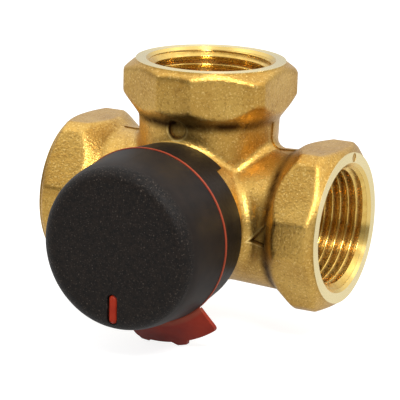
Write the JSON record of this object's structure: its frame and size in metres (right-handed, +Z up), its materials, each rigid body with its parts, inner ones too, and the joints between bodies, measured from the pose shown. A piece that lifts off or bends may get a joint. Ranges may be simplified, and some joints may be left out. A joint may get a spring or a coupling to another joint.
{
  "type": "diverter valve",
  "caption": "Rotary diverter valve in cast brass with female threaded ports, a black push-on hand knob with a red pointer and a turnable red thumb-lug ring",
  "frame": {"origin": "where the axes of the three ports cross, on the spindle axis", "axes": "+X along the right port, -X along the left port, +Z up the top port; the spindle and knob come out along -Y, and +Y is the back"},
  "size_m": [0.082, 0.0742, 0.0719],
  "materials": {
    "brass": "cast and blasted, machined on the port faces and bores",
    "black_plastic": "smooth moulded",
    "knob_plastic": "satin side, spark-grained face",
    "red_plastic": "smooth moulded",
    "bearing_plastic": "turned, smooth",
    "seal_rubber": "moulded",
    "spring_steel": "bright"
  },
  "bodies": {
    "housing": {"valve_body": "brass", "rear_bush": "bearing_plastic", "bonnet": "black_plastic", "bonnet_seal": "seal_rubber", "bonnet_ring": "spring_steel", "collar": "black_plastic", "collar_screws": "spring_steel"},
    "stem": {"rotor": "brass", "rotor_pin": "spring_steel", "spindle": "bearing_plastic", "spindle_seal_inner": "seal_rubber", "spindle_seal_outer": "seal_rubber", "spindle_clip": "spring_steel", "thrust_washer": "bearing_plastic", "knob": "knob_plastic", "knob_pointer": "red_plastic", "knob_hub_clip": "spring_steel"},
    "lug_ring": {"scale_ring": "red_plastic"}
  },
  "joints": [
    {"name": "knob_turn", "type": "hinge", "parent": "housing", "child": "stem", "pos_m": [0, 0, 0], "axis": [0, -1, 0], "range_deg": [-45, 45]},
    {"name": "ring_turn", "type": "hinge", "parent": "housing", "child": "lug_ring", "pos_m": [0, -0.0347, 0], "axis": [0, -1, 0], "continuous": true}
  ]
}
